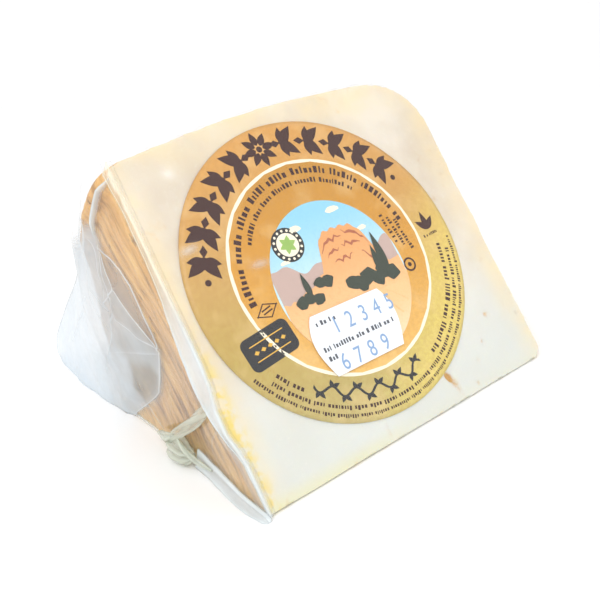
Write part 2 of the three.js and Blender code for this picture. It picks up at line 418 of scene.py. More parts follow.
def make_cheese():
    cheese = remeshed("cheese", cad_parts["cheese_wedge"], CHEESE_VOXEL, 4)
    mesh = cheese.data
    points = get_points(mesh)
    local = in_wedge(points) / MM
    up, below = to_face(local)
    along = local[:, 0]
    cut_depth = np.minimum(below, local[:, 2])
    rind = smoothstep(0.6, 2.5, cut_depth)
    sink = np.maximum(0.10 + 0.10 * waves(local, 11, 22), 0.04)
    furrows = waves(local, 12, 9)
    streaks = waves(np.stack([along * 0.5, below, up * 0.08], axis=1), 13, 2.2, 14)
    sink += rind * (0.16 + 0.14 * furrows + 0.16 * np.abs(streaks))
    # How strongly the eyes and cracks are coloured darker: partly their own tint, partly painted shade in
    # the hollows
    hollow = np.zeros(len(points))
    on_label_side = below < 1.5
    pale = np.zeros(len(points))
    for eye_along, eye_up, size, tone in EYES:
        away = np.hypot(along - eye_along, up - eye_up) / size
        spot = on_label_side * np.exp(-(away ** 2))
        hollow += spot * max(tone, 0) * 0.3
        # Painted highlight: a tone below zero paints a glint of the film as a pale spot
        pale += spot * max(-tone, 0)
        sink += on_label_side * 0.25 * tone * size * np.exp(-((away / 0.8) ** 4))
    for start, end, width, depth in CRACKS:
        away, _ = distance_to_line(along, up, start, end)
        hollow += on_label_side * depth * np.exp(-((away / (width * 1.5)) ** 2))
        sink += on_label_side * depth * 0.5 * np.exp(-((away / width) ** 2))
    placed = points - get_normals(mesh) * (sink * MM)[:, None]
    placed[:, 0] -= side_swell(local) * MM
    set_points(mesh, placed)
    set_attribute(mesh, "hollow", np.clip(hollow, 0, 1))
    set_attribute(mesh, "pale", np.clip(pale, 0, 1))
    mesh.shade_smooth()
    mesh.materials.append(cheese_material())
    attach(cheese, BODY)
    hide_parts("cheese_wedge")


# The round label, with its print as thin layers of ink

LABEL_REST = 0.40
LABEL_WAVE = 0.06
INK = 0.03
INK_GRAIN = 2.5


def face_relief(along, up):
    """Height of the label's paper above the cut face, in millimetres: it follows the uneven paste."""
    return LABEL_REST + LABEL_WAVE * waves(plane(along, up), 31, 17, 12)


def lay_on_face(mesh, lift):
    """Turns a flat mesh, in millimetres from the label's centre and up from it, onto the cut face."""
    flat = get_points(mesh)
    along = LABEL_ALONG / MM + flat[:, 0]
    up = LABEL_UP / MM + flat[:, 1]
    out = face_relief(along, up) + lift + flat[:, 2]
    placed = np.stack([along, up * COS - out * SIN, up * SIN + out * COS], axis=1)
    set_points(mesh, placed * MM + np.array(WEDGE_ORIGIN))


def ink(name, outlines, material, lift, thickness=INK):
    """One colour of print: closed flat shapes with the label's own slight waves."""
    shape = bmesh.new()
    for outline in outlines:
        shape.faces.new([shape.verts.new((x, y, 0.0)) for x, y in outline])
    bmesh.ops.triangulate(shape, faces=shape.faces[:], ngon_method="EAR_CLIP")
    for _ in range(6):
        long_edges = [edge for edge in shape.edges if edge.calc_length() > INK_GRAIN]
        if not long_edges:
            break
        bmesh.ops.subdivide_edges(shape, edges=long_edges, cuts=1)
        bmesh.ops.triangulate(shape, faces=[face for face in shape.faces if len(face.verts) > 3])
    bmesh.ops.remove_doubles(shape, verts=shape.verts[:], dist=0.001)
    top = bmesh.ops.extrude_face_region(shape, geom=shape.faces[:])
    for vert in (item for item in top["geom"] if isinstance(item, bmesh.types.BMVert)):
        vert.co.z = thickness
    bmesh.ops.recalc_face_normals(shape, faces=shape.faces[:])
    mesh = bpy.data.meshes.new(name)
    shape.to_mesh(mesh)
    shape.free()
    lay_on_face(mesh, lift)
    mesh.materials.append(material)
    piece = new_object(name, mesh)
    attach(piece, BODY)
    return piece


def polar(radius, degrees, centre=(0.0, 0.0)):
    turn = math.radians(degrees)
    return (centre[0] + radius * math.cos(turn), centre[1] + radius * math.sin(turn))


def arc_bar(inner, outer, start, end, centre=(0.0, 0.0), step=4.0):
    """A piece of a ring between two radii and two angles."""
    count = max(1, math.ceil(abs(end - start) / step))
    turns = [start + (end - start) * i / count for i in range(count + 1)]
    return [polar(outer, t, centre) for t in turns] + [polar(inner, t, centre) for t in reversed(turns)]


def ring_pieces(inner, outer, centre=(0.0, 0.0), pieces=12):
    step = 360 / pieces
    return [arc_bar(inner, outer, i * step, (i + 1) * step, centre, 5.0) for i in range(pieces)]


def disc(radius, centre, sides):
    return [polar(radius, 360 * i / sides, centre) for i in range(sides)]


def turned(points, place, degrees):
    turn = math.radians(degrees)
    c, s = math.cos(turn), math.sin(turn)
    return [(place[0] + x * c - y * s, place[1] + x * s + y * c) for x, y in points]


def leaf_outline(length, width, bend=0.0):
    """A pointed leaf from (0, 0) along x, bent to one side."""
    steps = 9
    spine = [i / steps for i in range(steps + 1)]

    def side(sign):
        return [(length * t, bend * t * t + sign * width / 2 * math.sin(math.pi * t ** 0.75)) for t in spine]
    return side(1) + side(-1)[-2:0:-1]


def lozenge(length, width):
    return [(-length / 2, 0), (0, -width / 2), (length / 2, 0), (0, width / 2)]


def arc_row(radius, height, start, end, seed, words=(3, 8)):
    """A row of short bars on an arc, from one angle to another, in groups of uneven length."""
    draw = np.random.default_rng(seed)
    per_degree = math.pi * radius / 180
    way = 1 if end > start else -1
    bars, turn, left = [], start, 0
    while way * (end - turn) > 0:
        width = height * draw.uniform(0.22, 0.62)
        tall = height * draw.choice([0.72, 0.72, 1.0])
        run = way * width / per_degree
        bars.append(arc_bar(radius - height / 2, radius - height / 2 + tall, turn, turn + run))
        left = int(draw.integers(*words)) if left == 0 else left - 1
        gap = 0.3 * height if left else 0.85 * height
        turn += run + way * gap / per_degree
    return bars


def straight_row(place, degrees, length, height, seed):
    """A straight row of short bars."""
    draw = np.random.default_rng(seed)
    bars, at = [], 0.0
    while at < length:
        width = height * draw.uniform(0.25, 0.6)
        tall = height * draw.choice([0.72, 1.0])
        bars.append(turned([(at, 0), (at + width, 0), (at + width, tall), (at, tall)], place, degrees))
        at += width + height * draw.choice([0.28, 0.28, 0.28, 0.8])
    return bars


def garland():
    """The ornament on the label's upper ring: a flower at the top and sprays of leaves down both sides."""
    outlines = []
    middle_radius, top_turn, units, spacing = 34.3, 99.0, 5, 12.4
    for sign in (1, -1):
        for unit in range(units):
            turn = top_turn + sign * (10.5 + spacing * unit)
            place = polar(middle_radius, turn)
            heading = turn + sign * 90
            for side in (1, -1):
                outlines.append(turned(leaf_outline(6.3, 3.1, side * 1.5), place, heading + side * 25))
                outlines.append(turned(leaf_outline(4.3, 2.3, side * 0.6),
                                       polar(middle_radius, turn + sign), heading + side * 70))
            outlines.append(turned(lozenge(3.2, 2.0), polar(middle_radius, turn - sign * 2.2), heading))
        outlines.append(disc(0.8, polar(middle_radius, top_turn + sign * (10.5 + spacing * units - 2)), 12))
    heart = polar(middle_radius, top_turn)
    for petal in range(8):
        aim = top_turn + petal * 45
        outlines.append(turned(leaf_outline(3.9, 2.0), polar(1.1, aim, heart), aim))
    outlines.append(disc(0.85, heart, 12))
    return outlines


def vine(radius, start, end, swing, thickness, waves_count):
    """A waving stem along an arc, with a pair of leaves at every crest."""
    steps = waves_count * 16
    inner, outer = [], []
    for i in range(steps + 1):
        t = i / steps
        phase = 2 * math.pi * waves_count * t
        half = thickness * (0.75 + 0.25 * math.cos(2 * phase)) / 2
        turn = start + (end - start) * t
        middle = radius + swing * math.sin(phase)
        outer.append(polar(middle + half, turn))
        inner.append(polar(middle - half, turn))
    shapes = [[outer[i], outer[i + 1], inner[i + 1], inner[i]] for i in range(steps)]
    for crest in range(2 * waves_count):
        side = 1 if crest % 2 == 0 else -1
        turn = start + (end - start) * (crest + 0.5) / (2 * waves_count)
        place = polar(radius + side * swing * 0.8, turn)
        for lean, length in ((35, 2.3), (110, 1.9)):
            shapes.append(turned(leaf_outline(length, 1.1), place, turn + 90 - side * lean))
    return shapes


# The picture in the label's middle: a plain landscape in an oval window

WINDOW_CENTRE = (0.3, -4.2)
WINDOW_WIDE, WINDOW_HIGH = 19.6, 21.2


def window_height(x):
    inside = max(0.0, 1 - ((x - WINDOW_CENTRE[0]) / WINDOW_WIDE) ** 2)
    return WINDOW_HIGH * math.sqrt(inside)


def ground(skyline):
    """The part of the window below a skyline."""
    columns = 64
    xs = [WINDOW_CENTRE[0] - WINDOW_WIDE + 2 * WINDOW_WIDE * i / columns for i in range(columns + 1)]
    top, bottom = [], []
    for x in xs:
        low = WINDOW_CENTRE[1] - window_height(x)
        high = min(skyline(x), WINDOW_CENTRE[1] + window_height(x))
        if high > low + 0.05:
            top.append((x, high))
            bottom.append((x, low))
    return top + bottom[::-1]


def far_hills(x):
    return 2.2 + 1.6 * math.sin(x * 0.31 + 0.7) + 0.7 * math.sin(x * 0.83)


def tableland(x):
    """A flat-topped hill with steep sides at the right."""
    climb = 1 / (1 + math.exp(-(x + 3.5) * 0.95))
    fall = 1 / (1 + math.exp((x - 13.0) * 0.8))
    return -5.5 + 14.2 * climb * fall + 0.35 * math.sin(x * 2.3)


def foothill(x):
    return -4.2 + 2.3 * math.sin(x * 0.22 + 2.4) + 0.5 * math.sin(x * 0.9)


def near_field(x):
    return -12.2 + 1.7 * math.sin(x * 0.17 - 0.4)


def clump(place, size, count, seed, tall=1.0):
    """A bush or tree crown of overlapping rounds, joined as one outline."""
    draw = np.random.default_rng(seed)
    lobes = draw.uniform(0.75, 1.15, count)
    outline = []
    for i in range(count * 4):
        turn = 2 * math.pi * i / (count * 4)
        lobe = lobes[i // 4] * (0.82 + 0.18 * math.sin(math.pi * ((i % 4) + 0.5) / 4) * 2)
        across, rise = size * lobe * math.cos(turn), size * tall * lobe * math.sin(turn)
        outline.append((place[0] + across, place[1] + rise))
    return outline


def furrows():
    """Rows of ploughed earth, wider and further apart towards the front."""
    rows, pieces = [], 6
    for i in range(7):
        start_x, end_x = -9 + i * 3.2, -16 + i * 6.2

        def at(t, side):
            x = start_x + (end_x - start_x) * t + side * (0.18 + 0.2 * t)
            return (x, near_field(start_x) - 0.6 - 11.5 * t ** 1.3)

        for k in range(pieces):
            t0, t1 = k / pieces, (k + 1) / pieces
            quad = [at(t0, -1), at(t0, 1), at(t1, 1), at(t1, -1)]
            if all(abs(y - WINDOW_CENTRE[1]) < window_height(x) - 0.3 for x, y in quad):
                rows.append(quad)
    return rows


def print_material(name, color, second=None, between=None):
    """Printing ink with a slightly uneven tone, and for wide fields a second colour that it runs to."""
    s = Shader(name)
    local, up, _, _ = s.coordinates()
    tone = srgb(*color)
    if second is not None:
        tone = s.mix(s.range(up, *between), srgb(*second), tone)
    fine = s.noise(local, 1.3, 3, 0.6)
    darker = tuple(c * 0.86 for c in srgb(*color))
    color_out = s.mix(s.range(fine, 0.45, 0.75, 0, 0.35), tone, darker)
    bump = s.bump(fine, 0.25, 0.05)
    return s.finish(s.principled(color_out, 0.45, bump))


# The label's golden middle, its radius in millimetres, and the colours round and in it
MIDDLE_RADIUS = 28.2
LABEL_GRAIN = srgb(168, 118, 62)
LABEL_CLOUD = srgb(236, 205, 150)
LABEL_RING_TONES = [
    (0.02, srgb(190, 178, 116)), (0.30, srgb(188, 164, 88)), (0.52, srgb(200, 162, 94)),
    (0.72, srgb(206, 156, 84)), (0.95, srgb(214, 158, 82))]
LABEL_RING_RIGHT = srgb(236, 214, 110)
LABEL_MIDDLE_TONES = [
    (0.15, srgb(240, 192, 108)), (0.40, srgb(220, 164, 70)), (0.60, srgb(210, 150, 54)),
    (0.85, srgb(194, 140, 52))]


def label_material():
    """Gold paper: an orange to olive ring round a golden middle, with fine paper mottling."""
    s = Shader("label_paper")
    local, up, _, (along, _, _) = s.coordinates()
    x = s.math("SUBTRACT", along, LABEL_ALONG / MM)
    y = s.math("SUBTRACT", up, LABEL_UP / MM)
    radius = s.vector_math("LENGTH", {0: s.vector(x, y, 0.0)}, "Value")
    fall = s.add(s.multiply(y, 0.0125), s.multiply(x, 0.0012))
    fall = s.add(fall, 0.5)
    ring = s.ramp(fall, LABEL_RING_TONES)
    right = s.range(s.math("SUBTRACT", x, s.multiply(y, 0.9)), 16, 50, 0, 0.75)
    ring = s.mix(right, ring, LABEL_RING_RIGHT)
    middle = s.ramp(fall, LABEL_MIDDLE_TONES)
    inside = s.range(radius, MIDDLE_RADIUS, MIDDLE_RADIUS + 0.4, 1, 0)
    paper = s.mix(inside, ring, middle)
    fine = s.noise(local, 1.1, 4, 0.65)
    soft = s.noise(local, 0.14, 3)
    paper = s.mix(s.range(fine, 0.38, 0.66, 0.22, 0), paper, LABEL_GRAIN)
    paper = s.mix(s.range(soft, 0.45, 0.7, 0, 0.25), paper, LABEL_CLOUD)
    bump = s.bump(fine, 0.4, 0.06)
    return s.finish(s.principled(paper, 0.42, bump, {"Specular IOR Level": 0.45}))


def make_label():
    """The label's paper: a thin disc whose edge drops a little."""
    material = label_material()
    radius, edge, rings, sides = LABEL_RADIUS / MM, 0.5, 26, 160
    edge_drop, thickness = 0.22, 0.34
    points, faces = [(0.0, 0.0, 0.0)], []
    for ring in range(1, rings + 1):
        r = radius * ring / rings
        drop = -edge_drop * smoothstep(radius - edge, radius, r)
        points += [(*polar(r, 360 * k / sides), drop) for k in range(sides)]
    for k in range(sides):
        faces.append((0, 1 + k, 1 + (k + 1) % sides))
    for ring in range(rings - 1):
        a, b = 1 + ring * sides, 1 + (ring + 1) * sides
        for k in range(sides):
            faces.append((a + k, b + k, b + (k + 1) % sides, a + (k + 1) % sides))
    top_count = len(points)
    under = [(x, y, -thickness) for x, y, _ in points]
    points += under
    faces += [tuple(i + top_count for i in reversed(face)) for face in faces]
    last = 1 + (rings - 1) * sides
    for k in range(sides):
        m = (k + 1) % sides
        faces.append((last + k, last + k + top_count, last + m + top_count, last + m))
    mesh = bpy.data.meshes.new("label")
    mesh.from_pydata(points, [], faces)
    lay_on_face(mesh, 0.0)
    mesh.shade_smooth()
    mesh.materials.append(material)
    label = new_object("label", mesh)
    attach(label, BODY)
    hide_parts("round_label")


# The inks: their tones, and for wide fields the second tone and the heights between which they run to it
INKS = [
    ("ink_brown", (62, 30, 24)), ("ink_cream", (250, 240, 214)), ("ink_dark", (44, 44, 46)),
    ("ink_gold", (226, 178, 74)), ("ink_green", (150, 186, 96)),
    ("ink_sky", (146, 206, 232), (214, 236, 240), (34.0, 62.0)), ("ink_haze", (196, 170, 160)),
    ("ink_terracotta", (230, 164, 104), (246, 196, 140), (30.0, 54.0)), ("ink_rust", (176, 104, 74)),
    ("ink_sand", (240, 196, 140), (248, 220, 180), (20.0, 34.0)), ("ink_leaves", (58, 66, 54)),
]
# Rows of small print: radius, height, start and end angle, seed, and the lengths of their groups
ARC_ROWS = [(26.0, 1.9, 186, 12, 41), (23.1, 1.35, 150, 48, 42), (34.2, 1.5, 296, 352, 43, (2, 6)),
            (36.4, 1.1, 214, 348, 44), (38.3, 0.9, 208, 354, 45, (4, 11)), (34.4, 1.3, 214, 226, 46)]


def make_print():
    brown, cream, dark, gold, green, sky, haze, terracotta, rust, sand, leaves = [
        print_material(*row) for row in INKS]

    ink("print_ring", ring_pieces(MIDDLE_RADIUS, MIDDLE_RADIUS + 0.7, pieces=24), cream, 0.0)
    ink("print_garland", garland(), brown, 0.0)
    rows = [bar for row in ARC_ROWS for bar in arc_row(*row)]
    for column in range(3):
        rows += straight_row((19.4 + column * 1.9, 7.6 - column * 1.2), -82, 8.6, 1.1, 47 + column)
    rows += straight_row((30.4, -2.6), 4, 5.6, 0.8, 50)
    ink("print_rows", rows, brown, 0.0)
    ink("print_flourish", vine(32.6, 230, 288, 1.0, 0.9, 5), dark, 0.0)

    window = [(WINDOW_CENTRE[0] + WINDOW_WIDE * math.cos(a), WINDOW_CENTRE[1] + WINDOW_HIGH * math.sin(a))
              for a in (2 * math.pi * i / 96 for i in range(96))]
    ink("picture_sky", [window], sky, 0.0)
    clouds = [clump((-6.5, 11.6), 1.6, 7, 61, 0.42), clump((6.4, 13.4), 1.9, 8, 62, 0.36),
              clump((12.4, 6.2), 1.5, 7, 63, 0.4), clump((-13.2, 4.4), 1.3, 7, 64, 0.4)]
    ink("picture_clouds", clouds, cream, INK)
    ink("picture_far_hills", [ground(far_hills)], haze, INK)
    ink("picture_tableland", [ground(tableland)], terracotta, 2 * INK)
    ink("picture_shade", strata(), rust, 3 * INK)
    ink("picture_foothill", [ground(foothill)], terracotta, 4 * INK)
    ink("picture_field", [ground(near_field)], sand, 5 * INK)
    ink("picture_furrows", furrows(), terracotta, 6 * INK)
    trees = [clump((x, foothill(x) - 1.0 - (i % 3)), 1.5, 7, 70 + i)
             for i, x in ((i, -13.6 + i * 2.3) for i in range(5))]
    trees += [clump((2.2 + i * 2.6, -6.2 - 1.3 * (i % 2)), 1.9, 8, 80 + i) for i in range(6)]
    trees += [turned(leaf_outline(11.5, 2.5), (14.2, -7.0), 91),
              turned(leaf_outline(8.6, 2.1), (11.9, -7.4), 88),
              turned(leaf_outline(6.8, 1.8), (-10.6, -6.0), 92)]
    ink("picture_trees", trees, leaves, 6 * INK)

    seal = (-10.2, 8.4)
    ink("seal_ground", [disc(4.5, seal, 40)], dark, INK)
    beads = [disc(0.36, polar(3.75, 22.5 * i, seal), 8) for i in range(16)]
    ink("seal_beads", beads + [disc(3.1, seal, 28)], cream, 2 * INK)
    ink("seal_flower", [turned(leaf_outline(2.5, 1.5), seal, 60 * i + 12) for i in range(6)], green, 3 * INK)

    badge_place, badge_tilt = (-26.4, -12.2), 8
    ink("badge", [turned(rounded_box(14.0, 8.2, 1.8), badge_place, badge_tilt)], dark, 0.0)
    marks = [turned(lozenge(1.5, 1.1), badge_point(badge_place, badge_tilt, x, 0), badge_tilt)
             for x in (-4, -2, 0, 2, 4)]
    bar = [(-5, -0.13), (5, -0.13), (5, 0.13), (-5, 0.13)]
    for y in (-1.9, 1.9):
        marks.append(turned(bar, badge_point(badge_place, badge_tilt, 0, y), badge_tilt))
    ink("badge_marks", marks, gold, INK)

    lines = frame_lines((-23.2, -4.6), 6.6, 4.0, 0.28, 14)
    lines += ring_pieces(1.45, 1.95, (21.4, -7.6)) + [disc(0.62, (21.4, -7.6), 12)]
    for sign in (-1, 0, 1):
        lines.append(turned(leaf_outline(5.4 - abs(sign), 1.9, sign * 0.8), (33.0, -0.6), 92 + sign * 34))
    ink("print_small", lines, brown, 0.0)


def strata():
    """Shaded bands on the tableland's face."""
    bands = []
    for start, end, depth, thick in ((-2.4, 5.2, 2.2, 0.8), (6.0, 12.4, 1.6, 0.9), (-1.2, 3.0, 5.2, 0.7),
                                     (4.2, 10.0, 4.6, 0.8), (9.2, 13.4, 7.4, 0.8), (0.2, 6.2, 8.0, 0.7)):
        steps = 8
        xs = [start + (end - start) * i / steps for i in range(steps + 1)]

        def line(x, extra):
            t = min(max((x - start) / (end - start), 0.06), 0.94)
            return tableland(x) - depth - extra * math.sin(math.pi * t) - 0.4 * math.sin(3 * x)

        bands.append([(x, line(x, 0.0)) for x in xs] + [(x, line(x, thick) - 0.05) for x in reversed(xs)])
    return bands


def rounded_box(width, height, corner):
    outline, steps = [], 6
    for centre_x, centre_y, start in ((1, 1, 0), (-1, 1, 90), (-1, -1, 180), (1, -1, 270)):
        middle = (centre_x * (width / 2 - corner), centre_y * (height / 2 - corner))
        outline += [polar(corner, start + 90 * i / steps, middle) for i in range(steps + 1)]
    return outline


def badge_point(place, tilt, x, y):
    return turned([(x, y)], place, tilt)[0]


def frame_lines(centre, width, height, line, degrees):
    """A small upright lozenge outline with two short bars in it."""
    w, h = width / 2, height / 2
    corners = [(w, 0), (0, h), (-w, 0), (0, -h)]
    shapes = []
    for i in range(4):
        a, b = Vector(corners[i]), Vector(corners[(i + 1) % 4])
        side = Vector((-(b - a).y, (b - a).x)).normalized() * line
        shapes.append(turned([a, b, b + side, a + side], centre, degrees))
    for y in (-0.55, 0.3):
        shapes.append(turned([(-1.4, y), (1.4, y), (1.4, y + 0.35), (-1.4, y + 0.35)], centre, degrees))
    return shapes


# The lot sticker, on top of the film

STICKER_WIDTH, STICKER_HEIGHT, STICKER_BULGE = 26.0, 15.6, 2.3
STICKER_PLACE = ((STICKER_ALONG - LABEL_ALONG) / MM, (STICKER_UP - LABEL_UP) / MM)
FILM_ON_LABEL = 0.32


def sticker_outline():
    """Straight top and bottom, and swelling ends."""
    half = STICKER_WIDTH / 2 - STICKER_BULGE
    right, steps = [], 14
    for i in range(steps + 1):
        t = i / steps
        right.append((half + STICKER_BULGE * math.sin(math.pi * t ** 0.85), STICKER_HEIGHT * (0.5 - t)))
    left = [(-x, y) for x, y in reversed(right)]
    return [(STICKER_PLACE[0] + x, STICKER_PLACE[1] + y) for x, y in right + left]


def sticker_material():
    s = Shader("sticker_paper")
    local = s.coordinates()[0]
    fine = s.noise(local, 0.9, 4, 0.6)
    color = s.mix(s.range(fine, 0.4, 0.7, 0, 0.6), srgb(238, 242, 247), srgb(224, 232, 242))
    bump = s.bump(fine, 0.3, 0.05)
    return s.finish(s.principled(color, 0.5, bump))


def digits(text, place, size):
    """Plain counting digits as flat triangles, in millimetres from the label's centre."""
    curve = bpy.data.curves.new("digits", "FONT")
    curve.body = text
    curve.size = size * 1.4
    curve.space_character = 1.15
    holder = new_object("digits", curve)
    mesh = bpy.data.meshes.new_from_object(holder.evaluated_get(bpy.context.evaluated_depsgraph_get()))
    triangles = [[(mesh.vertices[i].co.x * 0.8 + place[0], mesh.vertices[i].co.y + place[1])
                  for i in face.vertices] for face in mesh.polygons]
    bpy.data.objects.remove(holder)
    bpy.data.meshes.remove(mesh)
    bpy.data.curves.remove(curve)
    return triangles


def make_sticker():
    sticker = ink("sticker", [sticker_outline()], sticker_material(), FILM_ON_LABEL + 0.04, 0.16)
    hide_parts("lot_sticker")
    grey = print_material("ink_grey", (88, 90, 96))
    blue = print_material("ink_blue", (140, 168, 206))
    on_top = FILM_ON_LABEL + 0.2
    x, y = STICKER_PLACE
    rows = straight_row((x - 10.2, y + 4.9), 0, 5.6, 1.2, 91)
    rows += straight_row((x - 11.2, y - 1.5), 0, 22.4, 1.2, 92)
    rows += straight_row((x - 11.0, y - 3.9), 0, 2.6, 1.2, 93)
    ink("sticker_rows", rows, grey, on_top)
    stamped = digits("1 2 3 4 5", (x - 6.2, y + 1.6), 4.2) + digits("6 7 8 9", (x - 8.4, y - 7.2), 4.2)
    ink("sticker_digits", stamped, blue, on_top)


# The bag

PAINTED_SHADE_GREY = srgb(160, 170, 170)
FILM_WARM = srgb(246, 234, 204)


def film_material(name, tint, wrinkle, through_share, graze_share=0.3):
    """Thin clear film: glossy where light grazes it, milky where the mesh's own milk says so, also where
    that paints highlights as white lines, and greyed by painted shade where its shade says so.
    """
    s = Shader(name)
    local = s.coordinates()[0]
    milk = s.attribute("milk")
    soft = s.range(s.noise(local, 0.10, 3, 0.5), 0.3, 0.7, 0.9, 1.08)
    milk = s.multiply(milk, soft, clamp=True)
    wrinkles = s.noise(local, 0.5, 3, 0.5, 0.6)
    bump = s.bump(wrinkles, wrinkle, 0.4)
    gloss = s.node("ShaderNodeBsdfGlossy", {"Color": (1, 1, 1, 1), "Roughness": 0.12, "Normal": bump})
    clear = s.node("ShaderNodeBsdfTransparent", {"Color": (1, 1, 1, 1)})
    facing = s.node("ShaderNodeLayerWeight", {"Blend": 0.5, "Normal": bump}).outputs["Facing"]
    thin = s.blend(s.add(s.multiply(s.math("POWER", facing, 4.0), graze_share), 0.02), clear, gloss)
    # Painted shade: the shade attribute greys the film's tint
    shade = s.attribute("shade")
    warm = s.attribute("warm")
    color = s.mix(warm, s.mix(shade, srgb(*tint), PAINTED_SHADE_GREY), FILM_WARM)
    body = s.principled(color, 0.25, bump)
    through = s.node("ShaderNodeBsdfTranslucent", {"Color": color})
    return s.finish(s.blend(milk, thin, s.blend(through_share, body, through)))


def segment_distance(points, start, end):
    start, end = np.array(start, float), np.array(end, float)
    run = end - start
    t = np.clip((points - start) @ run / (run @ run), 0, 1)
    away = points - start - t[:, None] * run
    return np.sqrt((away ** 2).sum(axis=1))


def line_distance(points, line):
    return np.min([segment_distance(points, a, b) for a, b in zip(line, line[1:])], axis=0)


def inside(points, outline):
    within = np.zeros(len(points), bool)
    for (x0, y0), (x1, y1) in zip(outline, outline[1:] + outline[:1]):
        if y0 == y1:
            continue
        crosses = (points[:, 1] < y0) != (points[:, 1] < y1)
        at = x0 + (points[:, 1] - y0) * (x1 - x0) / (y1 - y0)
        within ^= crosses & (points[:, 0] < at)
    return within


def depth_inside(points, outline):
    """Distance to an outline, more than zero inside it."""
    away = line_distance(points, outline + outline[:1])
    return np.where(inside(points, outline), away, -away)


def dressed(name, mesh, material):
    mesh.shade_smooth()
    mesh.materials.append(material)
    piece = new_object(name, mesh)
    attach(piece, BODY)
    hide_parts("film_wrap")
    return piece


# Glints where the film is creased over the label and the paste, as places on the cut face
GLINTS = [((6.6, 60.6), (11.6, 61.4), 0.8), ((21.0, 52.5), (27.0, 52.3), 0.6)]


def make_skin(material):
    """The tight film, close over the cheese and the label."""
    skin = remeshed("film_skin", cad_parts["cheese_wedge"], SKIN_VOXEL, 2)
    mesh = skin.data
    points = get_points(mesh)
    local = in_wedge(points) / MM
    up, below = to_face(local)
    along = local[:, 0]
    on_cut = below < 1.2
    from_label = np.hypot(along - LABEL_ALONG / MM, up - LABEL_UP / MM)
    lift = 0.42 + 0.06 * waves(local, 51, 12) + 0.05 * waves(local, 52, 4)
    lift_label = face_relief(along, up) + FILM_ON_LABEL + below
    over = smoothstep(LABEL_RADIUS / MM + 1.8, LABEL_RADIUS / MM + 0.4, from_label) * on_cut
    lift = lift * (1 - over) + lift_label * over
    floor_gap = smoothstep(0.5, 2.0, local[:, 2])
    lift = np.where(local[:, 2] < 1.0, np.minimum(lift, 0.25), lift) * (0.2 + 0.8 * floor_gap)
    placed = points + get_normals(mesh) * (lift * MM)[:, None]
    placed[:, 0] -= side_swell(local) * MM
    placed[:, 2] = np.maximum(placed[:, 2], 0.02 * MM)
    set_points(mesh, placed)
    radius = np.hypot(local[:, 1], local[:, 2])
    rim = smoothstep(80.0, 89.0, radius)
    ruffle = np.clip(waves(local * np.array([1.0, 0.35, 0.35]), 53, 5), 0, 1) ** 2
    milk = 0.01 + 0.08 * rim * ruffle * (along > 10)
    # Painted highlights: the glints are painted as milky white streaks
    for start, end, strength in GLINTS:
        away, t = distance_to_line(along, up, start, end)
        milk += on_cut * strength * np.exp(-((away / 0.9) ** 2)) * np.sin(math.pi * np.clip(t, 0.05, 0.95))
    set_attribute(mesh, "milk", milk)
    mesh.shade_smooth()
    mesh.materials.append(material)
    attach(skin, BODY)
    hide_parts("cheese_wedge", "film_wrap")


# The loose film over the left sector face, drawn in that face's plane: towards the rim, and up

GATHER = (37.4, 30.2)
FOLD_UPPER = [(53.0, 54.8), (50.2, 53.6), (47.3, 52.7), (43.5, 50.2), (40.9, 46.5), (40.2, 43.0),
              (39.4, 38.4), (38.0, 34.4), GATHER]
FOLD_MIDDLE = [(52.0, 54.0), (51.0, 51.4), (47.8, 47.5), (45.4, 42.7), (42.7, 37.7), (39.4, 32.7), GATHER]
FOLD_LOWER = [(53.7, 35.5), (46.5, 34.3), (41.4, 32.0), GATHER]
FOLD_LEVEL = [(80.0, 18.8), (66.0, 22.9), (45.5, 28.1), (38.0, 28.9)]
FOLD_OUTER = [(54.4, 61.7), (57.3, 56.6), (61.6, 49.9), (69.0, 39.5), (67.6, 34.6), (64.0, 30.6)]
FOLD_INNER = [(55.9, 56.5), (54.6, 53.0), (53.3, 48.6), (53.2, 44.4), (58.0, 39.4)]
CREASES = [
    [(52.9, 55.1), (52.2, 51.8), (50.2, 45.6), (50.5, 42.6), (54.2, 37.2), (61.0, 31.4)],
    [(46.6, 45.4), (52.0, 42.4), (58.0, 39.5)], [(66.4, 41.6), (61.0, 38.0), (56.6, 37.6)],
    [(56.4, 35.8), (64.0, 27.2), (71.0, 20.8), (82.0, 12.2)], [(73.8, 38.2), (91.0, 27.8), (107.0, 16.4)],
]
FLAP_EDGE = [GATHER, (39.6, 26.0), (41.7, 22.2), (43.8, 18.8), (45.6, 16.1), (49.4, 13.4), (55.2, 9.9),
             (62.6, 5.6), (70.6, 0.8)]
TUCK_HIGH = [(62.9, 5.6), (56.9, 8.2), (53.9, 6.0), (50.3, 4.0)]
TUCK_LOW = [(71.0, 0.9), (60.0, 0.7), (52.0, 0.9), (46.0, 2.6)]
STRAP_SHORT = [(21.0, 8.6), (20.4, 11.4), (17.2, 14.8), (12.6, 18.8)]
